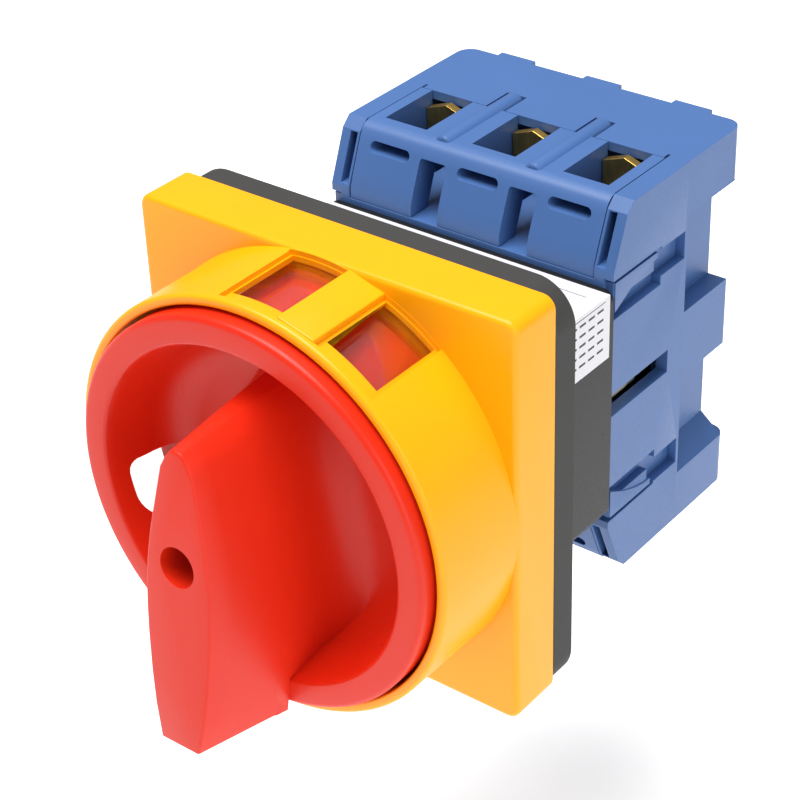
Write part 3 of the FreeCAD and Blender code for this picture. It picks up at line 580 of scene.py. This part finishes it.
class ISOLATOR_OT_mechanism(bpy.types.Operator):
    """Black mechanism housing with its wrapped label"""
    bl_idname = "isolator.mechanism"
    bl_label = "Mechanism"

    def execute(self, context):
        bm = from_node("mechanism_housing")
        finish(bm, "mechanism_case", "black", "housing", ["mechanism_housing"], 0.25, 2)
        label = from_node("rating_label")
        finish(label, "label_film", "label", "housing", ["rating_label"], 0.05, 1)
        # plain rules and short dashes stand for the label's print
        ink = bmesh.new()
        for row in range(5):
            top = 17.6 - 1.6 * row
            for start in (9.0, 11.2, 13.4, 15.6):
                brick(ink, PRINT_SIDE, (start, start + 1.5), (top - 0.17, top + 0.17))
        brick(ink, PRINT_SIDE, (8.6, 17.6), (18.5, 18.6))
        for start in range(-20, 20, 2):
            brick(ink, (start, start + 1.4), (14.2, 14.6), PRINT_TOP)
        brick(ink, (10.0, 23.0), (16.2, 16.3), PRINT_TOP)
        finish(ink, "label_print", "ink", "housing", [])
        return {"FINISHED"}


# ---------------------------------------------------------------- contact block
def away_from_joint(edge):
    """All edges but those in the plane where the two housings meet."""
    return any(abs(v.co.y - SEAM) > 0.05 for v in edge.verts)


def snap_hook(side, flip):
    """Curved tongue that holds the terminal cover, in its recess in the block's side."""
    profile = [(20.6, 15.2), (24.5, 17.2), (27.5, 18.3), (30.2, 18.9), (31.6, 18.9), (31.6, 19.9),
               (20.6, 19.9)]
    bm = bmesh.new()
    loft(bm, [[(side * x, y, flip * z) for y, z in profile] for x in (23.2, 24.95)])
    return bm


def terminal_cover():
    """Insert over one terminal bay: pockets, slots, notches and two half-round ribs."""
    outline = [(20.15, 20.0), (20.15, 21.6), (21.0, 24.0), (22.9, 28.7), (23.5, 30.0), (24.3, 30.7),
               (25.4, 31.0), (38.2, 31.0), (38.2, 27.2), (27.0, 27.2), (24.2, 20.0)]
    bm = bmesh.new()
    loft(bm, [[(x, y, z) for y, z in outline] for x in (-21.55, 21.55)])
    walls = []
    for pole in POLES:
        for side in (-1, 1):
            # each pocket's side walls reach down beside the clamp
            wall = bmesh.new()
            middle = pole + side * 4.45
            brick(wall, (middle - 0.65, middle + 0.65), (26.9, 38.2), (24.4, 27.6))
            walls.append(wall)
    combine(bm, walls, "UNION")
    tools = []
    for pole in POLES:
        pocket = bmesh.new()
        brick(pocket, (pole - 3.8, pole + 3.8), (26.7, 40.0), (18.0, 33.0))
        tools.append(pocket)
        slot = bmesh.new()
        verts = brick(slot, (pole - 3.6, pole + 3.6), (18.0, 26.2), (27.2, 28.9))
        soften(slot, verts, 0.84, along_shaft, 5)
        tools.append(slot)
    for side in (-1, 1):
        notch = bmesh.new()
        middle = side * RIB_ACROSS
        verts = brick(notch, (middle - 2.4, middle + 2.4), (18.0, 28.0), (19.0, 28.5))
        soften(notch, verts, 0.5, along_shaft, 3)
        tools.append(notch)
    combine(bm, tools, "DIFFERENCE")
    ribs = []
    for side in (-1, 1):
        rib = bmesh.new()
        verts = cylinder(rib, 1.5, 25.0, 43.6, (side * RIB_ACROSS, 30.2), 32)
        soften(rib, verts, 0.5, lambda edge: not along_shaft(edge), 3)
        ribs.append(rib)
    return combine(bm, ribs, "UNION")


class ISOLATOR_OT_block(bpy.types.Operator):
    """Blue contact block: front and rear housings and both terminal covers"""
    bl_idname = "isolator.block"
    bl_label = "Contact block"

    def execute(self, context):
        # the two housings meet so closely that their joint hardly shows
        case = from_node("contact_housing")
        for vert in case.verts:
            if vert.co.y > SEAM - 0.2:
                vert.co.y = SEAM
        hooks = [snap_hook(side, flip) for side in (-1, 1) for flip in (-1, 1)]
        combine(case, hooks, "UNION")
        finish(case, "contact_case", "blue", "housing", ["contact_housing"], 0.32, 3,
               30, away_from_joint)
        rear = from_node("rear_housing")
        finish(rear, "rear_case", "blue", "housing", ["rear_housing"], 0.32, 3, 30,
               away_from_joint)
        for name, node, flip in (("upper_cover", "terminal_cover_top", 1),
                                 ("lower_cover", "terminal_cover_bottom", -1)):
            bm = terminal_cover()
            if flip < 0:
                bmesh.ops.mirror(bm, geom=bm.verts[:] + bm.edges[:] + bm.faces[:], axis="Z",
                                 merge_dist=-1)
                upper = [v for v in bm.verts if v.co.z > 0]
                bmesh.ops.delete(bm, geom=upper, context="VERTS")
                bmesh.ops.recalc_face_normals(bm, faces=bm.faces)
            finish(bm, name, "blue", "housing", [node], 0.3, 3, 30)
        return {"FINISHED"}


class ISOLATOR_OT_contacts(bpy.types.Operator):
    """Terminals, clamps and switching parts"""
    bl_idname = "isolator.contacts"
    bl_label = "Contacts and terminals"

    def execute(self, context):
        for node in sorted(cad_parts):
            if node.startswith("saddle_clamp"):
                bm = from_node(node)
                finish(bm, node + "_part", "brass", "housing", [node], 0.4, 3)
            elif node.startswith("fixed_contact"):
                bm = from_node(node)
                finish(bm, node + "_part", "brass", "housing", [node], 0.12, 2)
            elif node.startswith("contact_bridge"):
                bm = from_node(node)
                finish(bm, node + "_part", "brass", "carrier", [node], 0.12, 2)
            elif node.startswith("terminal_screws") or node in ("housing_screws", "fixing_screws"):
                bm = from_node(node)
                finish(bm, node + "_part", "steel", "housing", [node], 0.12, 2)
        plain = (("drive_shaft", "steel", "rotor", "zinc_steel"),
                 ("index_wheel", "cream", "rotor", "cream_plastic"),
                 ("mechanism_end_plate", "black", "housing", "black_plastic"),
                 ("index_leaf_left", "spring", "housing", "zinc_steel"),
                 ("index_leaf_right", "spring", "housing", "zinc_steel"),
                 ("contact_springs", "steel", "carrier", "zinc_steel"))
        for node, material, rider, slot in plain:
            finish(from_node(node), node + "_part", material, rider, [node], 0.0, 2)
        bm = from_node("contact_carrier")
        finish(bm, "carrier_part", "cream", "carrier", ["contact_carrier"], 0.3, 3)
        bm = from_node("cam_drum")
        finish(bm, "cam_drum_part", "cream", "rotor", ["cam_drum"], 0.0, 3)
        return {"FINISHED"}


# ---------------------------------------------------------------- stage
FLOOR_HEIGHT = -0.095             # metres, like the camera's and the lights' places
CAMERA_PLACE = (0.16456, -0.20151, 0.16886)
CAMERA_TURN = (1.00148, 0.03187, 0.65672)


class ISOLATOR_OT_stage(bpy.types.Operator):
    """Floor, soft lights and camera"""
    bl_idname = "isolator.stage"
    bl_label = "Stage"

    def execute(self, context):
        settings = context.scene.isolator_stage
        scene = context.scene
        bm = bmesh.new()
        bmesh.ops.create_grid(bm, x_segments=1, y_segments=1, size=3.0)
        bmesh.ops.translate(bm, verts=bm.verts, vec=(0, 0, FLOOR_HEIGHT))
        mesh = bpy.data.meshes.new("floor")
        bm.to_mesh(mesh)
        bm.free()
        floor = bpy.data.objects.new("floor", mesh)
        scene.collection.objects.link(floor)
        paper, _, shader = new_material("Paper sweep, matt white", Roughness=0.9)
        shader.inputs["Base Color"].default_value = linear("f7f7f7")
        shader.inputs["Emission Color"].default_value = (1, 1, 1, 1)
        shader.inputs["Emission Strength"].default_value = 0.45
        mesh.materials.append(paper)

        world = bpy.data.worlds.new("Surround")
        scene.world = world
        world.use_nodes = True
        background = world.node_tree.nodes["Background"]
        background.inputs["Color"].default_value = (1, 1, 1, 1)
        background.inputs["Strength"].default_value = settings.world

        def softbox(name, place, target, size, power):
            data = bpy.data.lights.new(name, "AREA")
            data.shape = "RECTANGLE"
            data.size, data.size_y = size
            data.energy = power
            lamp = bpy.data.objects.new(name, data)
            lamp.location = place
            lamp.rotation_euler = (Vector(target) - Vector(place)).to_track_quat("-Z", "Y").to_euler()
            scene.collection.objects.link(lamp)
        softbox("Key softbox", (-0.08, -0.1, 0.67), (0, 0, 0), (0.5, 0.5), settings.key_power)
        softbox("Fill softbox", (0.6, -0.15, 0.2), (0, 0.02, 0), (0.4, 0.5), settings.key_power * 0.19)

        data = bpy.data.cameras.new("Camera")
        data.lens = settings.lens
        data.sensor_width = 36.0
        data.clip_start = 0.01
        data.clip_end = 20.0
        camera = bpy.data.objects.new("Camera", data)
        camera.location = CAMERA_PLACE
        camera.rotation_euler = CAMERA_TURN
        scene.collection.objects.link(camera)
        scene.camera = camera
        scene.view_settings.view_transform = "Standard"
        return {"FINISHED"}


class ISOLATOR_PT_panel(bpy.types.Panel):
    """Lists the switch's pieces in the order they are built"""
    bl_idname = "ISOLATOR_PT_panel"
    bl_label = "Rotary isolator"
    bl_space_type = "VIEW_3D"
    bl_region_type = "UI"
    bl_category = "Isolator"

    def draw(self, context):
        layout = self.layout
        scene = context.scene
        for group in (scene.isolator_colours, scene.isolator_handle, scene.isolator_stage):
            for name in group.__annotations__:
                layout.prop(group, name)
        for step in STEPS:
            layout.operator(step.bl_idname)


STEPS = (ISOLATOR_OT_bezel, ISOLATOR_OT_gasket, ISOLATOR_OT_handle, ISOLATOR_OT_mechanism,
         ISOLATOR_OT_block, ISOLATOR_OT_contacts, ISOLATOR_OT_stage)
GROUPS = (("isolator_colours", IsolatorColours), ("isolator_handle", IsolatorHandle),
          ("isolator_stage", IsolatorStage))


def register():
    for name, group in GROUPS:
        bpy.utils.register_class(group)
        setattr(bpy.types.Scene, name, PointerProperty(type=group))
    for step in STEPS:
        bpy.utils.register_class(step)
    bpy.utils.register_class(ISOLATOR_PT_panel)


def unregister():
    bpy.utils.unregister_class(ISOLATOR_PT_panel)
    for step in reversed(STEPS):
        bpy.utils.unregister_class(step)
    for name, group in reversed(GROUPS):
        delattr(bpy.types.Scene, name)
        bpy.utils.unregister_class(group)


def main():
    register()
    MATERIALS.update(make_materials())
    for step in STEPS:
        group, name = step.bl_idname.split(".")
        getattr(getattr(bpy.ops, group), name)()
    bpy.context.view_layer.update()


if __name__ == "__main__":
    main()
